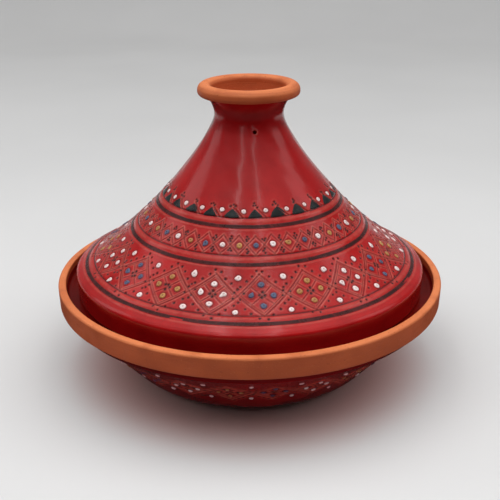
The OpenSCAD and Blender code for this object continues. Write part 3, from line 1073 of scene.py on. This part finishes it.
def lid_triangles():
    draw = np.random.default_rng(91)
    blobs = []
    for turn, base in triangles:
        width, height = TRIANGLE_W + draw.normal(0, 0.5), TRIANGLE_H + draw.normal(0, 0.4)
        outline = triangle_outline(draw, width, height)
        blobs.append(blob(lid_glaze_run, turn, base + height / 3, outline, 0.3, 0.0))
    joined_blobs("lid_triangles", blobs, "lid", "black_paint", triangle_black, "lid_black_triangles")


lid_skirt()
lid_wide_zone()
lid_narrow_zone()
lid_neck()
lid_clay()
lid_inner_skin()
lid_bands()
lid_triangles()
enamel_dabs("lid", lid_dabs, lid_glaze_run, lid_enamels, 101)


# ---- the dish

BOWL_DIAMONDS, BOWL_DIAMOND_HALF = 24, 13.0
bowl_row = bowl_dabs["yellow"] + bowl_dabs["blue"]


def dish_outer_skin():
    end = lengths(bowl_glaze_run)[-1]
    middle = row_middle(bowl_row, BOWL_DIAMONDS)[1]
    zones = [(0, 2.0), (middle - 17, 0.64), (middle + 15.5, 0.9)]
    where = skin_rows(0, end, zones, (True, True))
    relief = make_relief(bowl_glaze_run, where, 880, 7)
    diamonds(relief, bowl_row, BOWL_DIAMOND_HALF, BOWL_DIAMONDS, 33)
    press_dabs(relief, bowl_dabs["white"] + bowl_row)
    # Painted shade: the last 11 mm of the bowl's glaze, under the rim's overhang, is darkened.
    painted_shade = 0.55 * eased((where - end + 11) / 6)
    relief.sunk = np.maximum(relief.sunk, painted_shade[:, None])
    glaze_skin("dish_glaze_outside", "dish", bowl_glaze_run, relief, bowl_red_shaded, (True, True), 0.5, 25)


def dish_clay():
    inside = at(dish_inside, steps_between(0, lengths(dish_inside)[-1], 2.2))
    profile = joined(foot, sunk_under_glaze(bowl_outside, 2.5), rim_outside, inside)
    clay_wall("dish", profile, 360, 0.05, 62, clay)


def dish_inner_skin():
    inside_skin("dish", dish_inside[::-1], -1, 300, inner_red_shaded, 72)


dish_clay()
dish_outer_skin()
dish_inner_skin()
enamel_dabs("dish", bowl_dabs, bowl_glaze_run, shaded_bowl_enamels, 111)


# ---- floor, light and camera

def turned_sheet(name, rows, start=-180, end=180, steps=96):
    """An open sheet in metres from rows of (r, z) turned round the axis from one angle to another."""
    turn = np.radians(np.linspace(start, end, steps + 1))
    verts = [(r * math.sin(a), -r * math.cos(a), z) for r, z in rows for a in turn]
    faces = []
    for row in range(len(rows) - 1):
        first = row * (steps + 1)
        faces += [(first + i, first + i + 1, first + steps + 2 + i, first + steps + 1 + i)
                  for i in range(steps)]
    mesh = bpy.data.meshes.new(name)
    mesh.from_pydata(verts, [], faces)
    mesh.shade_smooth()
    sheet = bpy.data.objects.new(name, mesh)
    bpy.context.scene.collection.objects.link(sheet)
    sheet.visible_glossy = False
    return sheet


def paper():
    """Pale matt paper, with painted shade and a painted red bounce of light close to the pot."""
    material, tree, shader = new_material("floor_paper")
    place = object_place(tree)
    shade = spread(tree, noise(tree, place, 3, 2), 0.3, 0.7)
    body = blend(tree, shade, (0.71, 0.712, 0.714), (0.74, 0.742, 0.744))
    reach = add_node(tree, "ShaderNodeVectorMath", {0: place}, operation="LENGTH").outputs["Value"]
    # Painted shade and reflected red light: within about 0.15 m of the axis the paper turns darker and
    # redder.
    body = blend(tree, spread(tree, reach, 0.085, 0.145, 0.9, 0), body, (0.72, 0.44, 0.41))
    tree.links.new(body, shader.inputs["Base Color"])
    shader.inputs["Roughness"].default_value = 0.85
    return material


def studio_floor():
    """A pale round floor, and far off sheets that curve up and send no diffuse light back to the pot."""
    sheet = paper()
    bend = [(1.5 + 0.6 * math.sin(a), 0.6 - 0.6 * math.cos(a)) for a in np.radians(np.arange(0, 91, 6))]
    floor_rows = [(0.6, 0), (1.0, 0)] + bend[:9]
    near = turned_sheet("floor", [(0.002, 0), (0.15, 0), (0.3, 0), (0.6, 0)])
    front = turned_sheet("floor_front", floor_rows, -90, 90, 48)
    behind = turned_sheet("floor_behind", floor_rows, 90, 270, 48)
    wall = turned_sheet("backdrop", bend[8:] + [(2.1, 1.4), (2.1, 2.4)])
    behind.visible_glossy = True
    for piece in (near, front, behind, wall):
        piece.visible_diffuse = piece is near
        piece.data.materials.append(sheet)


def pose_at(place, right, up, back):
    """The pose of a light or a camera, from its place and its own three directions."""
    return Matrix.Translation(place) @ Matrix((right, up, back)).transposed().to_4x4()


def add_light(name, pose, size, radiance, seen=True):
    """A rectangular light; seen says if it shows in glossy reflections."""
    light = bpy.data.lights.new(name, "AREA")
    light.shape = "RECTANGLE"
    light.size, light.size_y = size
    light.energy = radiance * math.pi * size[0] * size[1]
    made = bpy.data.objects.new(name, light)
    made.matrix_world = pose
    made.visible_glossy = seen
    bpy.context.scene.collection.objects.link(made)


def panel_light(name, place, towards, size, radiance, seen=True):
    """A soft panel that faces a point."""
    place = Vector(place)
    turn = (Vector(towards) - place).to_track_quat("-Z", "Y").to_matrix().to_4x4()
    add_light(name, Matrix.Translation(place) @ turn, size, radiance, seen)


def strip_light(name, near, far, width, radiance):
    """A narrow overhead tube that runs from front to back."""
    near, far = Vector(near), Vector(far)
    ahead = (far - near).normalized()
    across = ahead.cross(Vector((0, 0, 1))).normalized()
    pose = pose_at((near + far) / 2, across, ahead, across.cross(ahead))
    add_light(name, pose, (width, (far - near).length), radiance)


def studio_lights():
    """Four tubes that draw streaks on the lid, a panel on each side, and washes that only add light."""
    strip_light("strip_left", (-0.27, -0.75, 1.12), (-0.17, 0.25, 1.12), 0.09, 2.4)
    strip_light("strip_left_front", (-0.58, -1.6, 0.77), (-0.27, -0.75, 1.12), 0.1, 1.9)
    strip_light("strip_right", (0.21, -0.75, 1.12), (0.12, 0.25, 1.12), 0.07, 2.4)
    strip_light("strip_right_front", (0.42, -1.6, 0.77), (0.21, -0.75, 1.12), 0.09, 1.9)
    panel_light("side_left", (-1.25, 0.35, 0.85), (0, 0, 0.1), (0.55, 0.7), 0.85)
    panel_light("side_right", (1.2, 0.1, 0.95), (0, 0, 0.1), (0.5, 0.7), 0.85)
    panel_light("wash_left", (-1.1, -0.1, 0.7), (0, 0, 0.05), (1.0, 0.9), 0.8, seen=False)
    panel_light("wash_right", (1.1, -0.1, 0.7), (0, 0, 0.05), (1.0, 0.9), 0.9, seen=False)
    panel_light("backdrop_light", (0, 1.2, 1.4), (0, 2.1, 1.0), (2.4, 0.5), 1.5, seen=False)
    panel_light("key", (0, -0.35, 1.7), (0, -0.35, 0), (3.0, 2.2), 1.34, seen=False)


def studio_sky():
    """Soft light from above and behind, and dark in front and below."""
    world = bpy.data.worlds.new("studio")
    bpy.context.scene.world = world
    world.use_nodes = True
    tree = world.node_tree
    ground = tree.nodes["Background"]
    way = add_node(tree, "ShaderNodeTexCoord", {}).outputs["Generated"]
    parts = add_node(tree, "ShaderNodeSeparateXYZ", {"Vector": way}).outputs
    above = times(tree, spread(tree, parts["Z"], 0.35, 0.98, 0.0, 0.55),
                  spread(tree, parts["Y"], -0.9, 0.1, 0.35, 1))
    behind = times(tree, spread(tree, parts["Y"], 0.1, 1.0), spread(tree, parts["Z"], -0.3, 0.2, 0, 0.22))
    level = add_node(tree, "ShaderNodeMath", {0: above, 1: behind}, operation="ADD").outputs[0]
    level = add_node(tree, "ShaderNodeMath", {0: level, 1: 0.015}, operation="ADD").outputs[0]
    tree.links.new(level, ground.inputs["Strength"])
    ground.inputs["Color"].default_value = (1.0, 0.985, 0.97, 1)


def camera_view():
    """A camera 0.6 m in front of the pot's axis and 0.25 m above its rim, that looks down at it."""
    data = bpy.data.cameras.new("camera")
    data.sensor_width, data.lens = 36, 64.8
    camera = bpy.data.objects.new("camera", data)
    bpy.context.scene.collection.objects.link(camera)
    pitch, yaw, roll = 0.3774, 0.0005, -0.0050
    ahead = Vector((math.sin(yaw) * math.cos(pitch), math.cos(yaw) * math.cos(pitch), -math.sin(pitch)))
    level = Vector((math.cos(yaw), -math.sin(yaw), 0))
    upright = level.cross(ahead)
    right = level * math.cos(roll) + upright * math.sin(roll)
    up = upright * math.cos(roll) - level * math.sin(roll)
    camera.matrix_world = pose_at((0, -0.596, dish_h * MM + 0.2505), right, up, -ahead)
    bpy.context.scene.camera = camera


studio_floor()
studio_sky()
studio_lights()
camera_view()
bpy.context.scene.view_settings.view_transform = "Standard"
